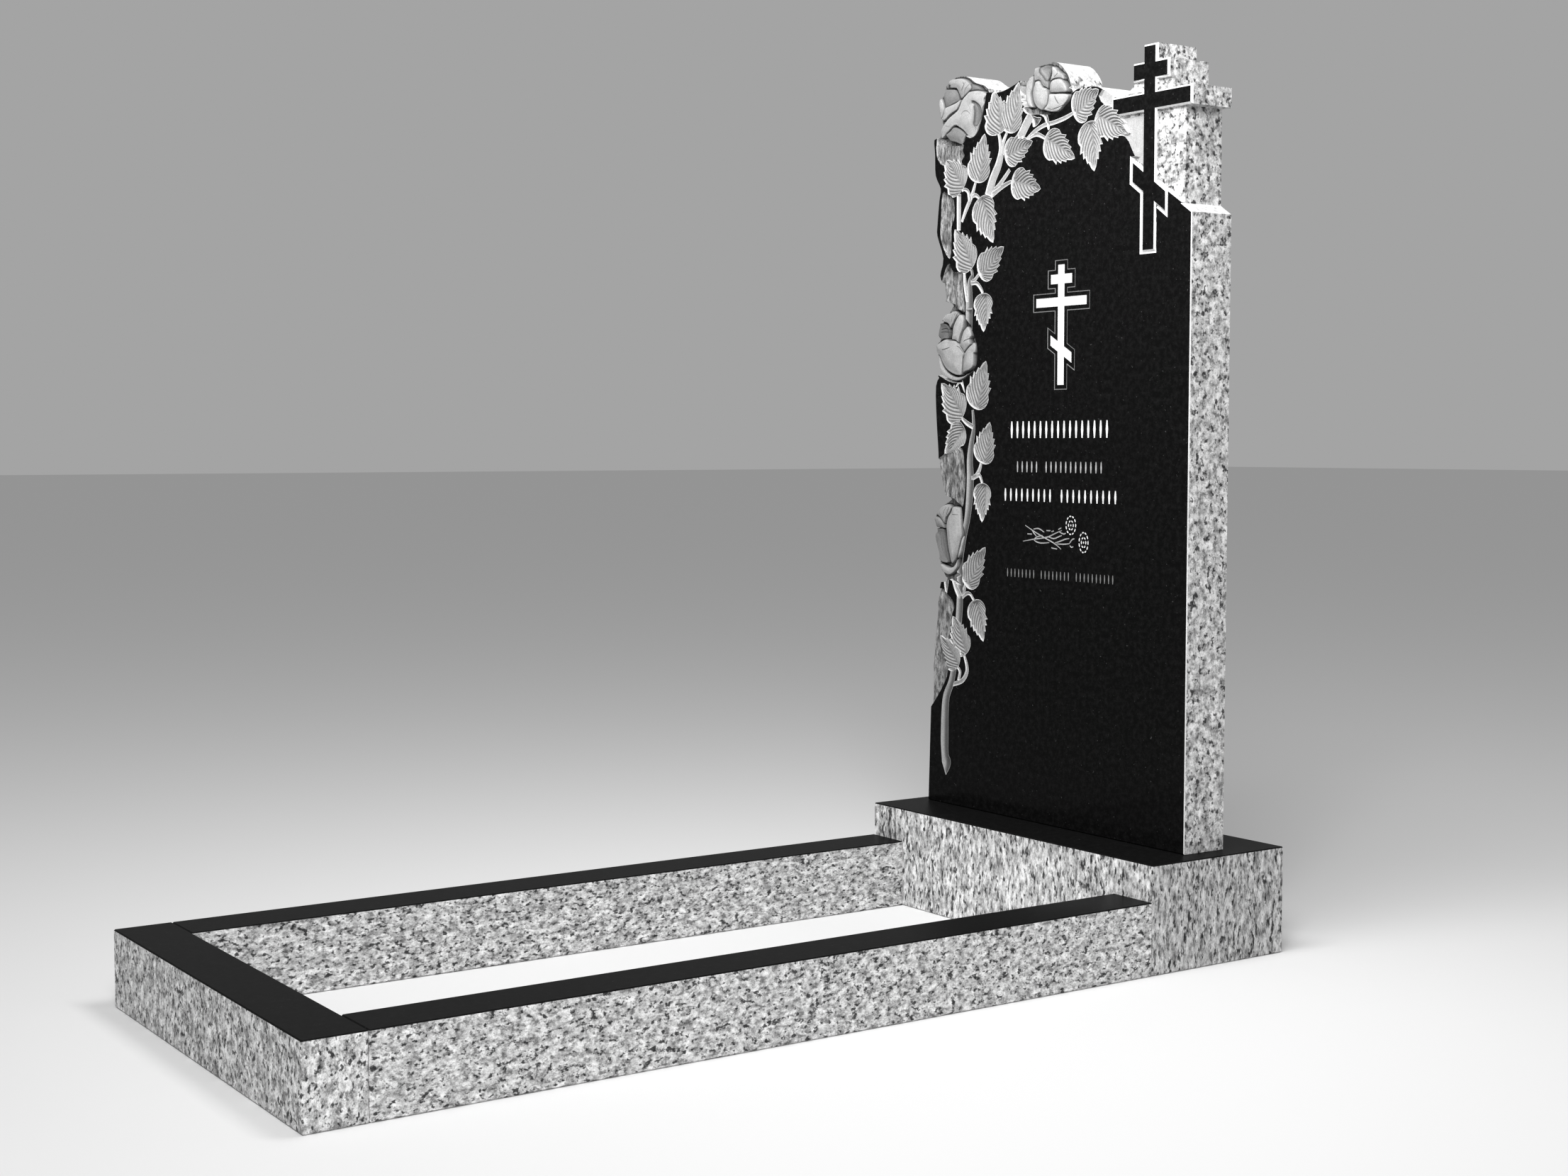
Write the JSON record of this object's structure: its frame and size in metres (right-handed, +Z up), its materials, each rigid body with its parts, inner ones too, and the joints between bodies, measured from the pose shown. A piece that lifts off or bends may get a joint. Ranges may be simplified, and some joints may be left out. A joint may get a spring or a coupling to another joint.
{
  "type": "headstone with flower bed",
  "caption": "Carved granite headstone with roses, leaves and a cross on a plinth, with a kerb of bars around an open flower bed.",
  "frame": {"origin": "on the ground, under the middle of the whole set's box", "axes": "+Z up, +Y from the flower bed to the headstone along the grave, +X to the right of someone reading the headstone"},
  "size_m": [0.5, 1.16, 1.0213],
  "materials": {
    "stele_granite": "black granite, polished face, light grey carving, honed light grey sides",
    "plinth_granite": "granite, dark polished top, light grey speckled sides",
    "bar_granite": "granite, dark polished top, light grey speckled sides"
  },
  "bodies": {
    "root": {"stele": "stele_granite", "plinth": "plinth_granite", "bed_bar_left": "bar_granite", "bed_bar_right": "bar_granite", "bed_bar_front": "bar_granite"}
  },
  "joints": []
}
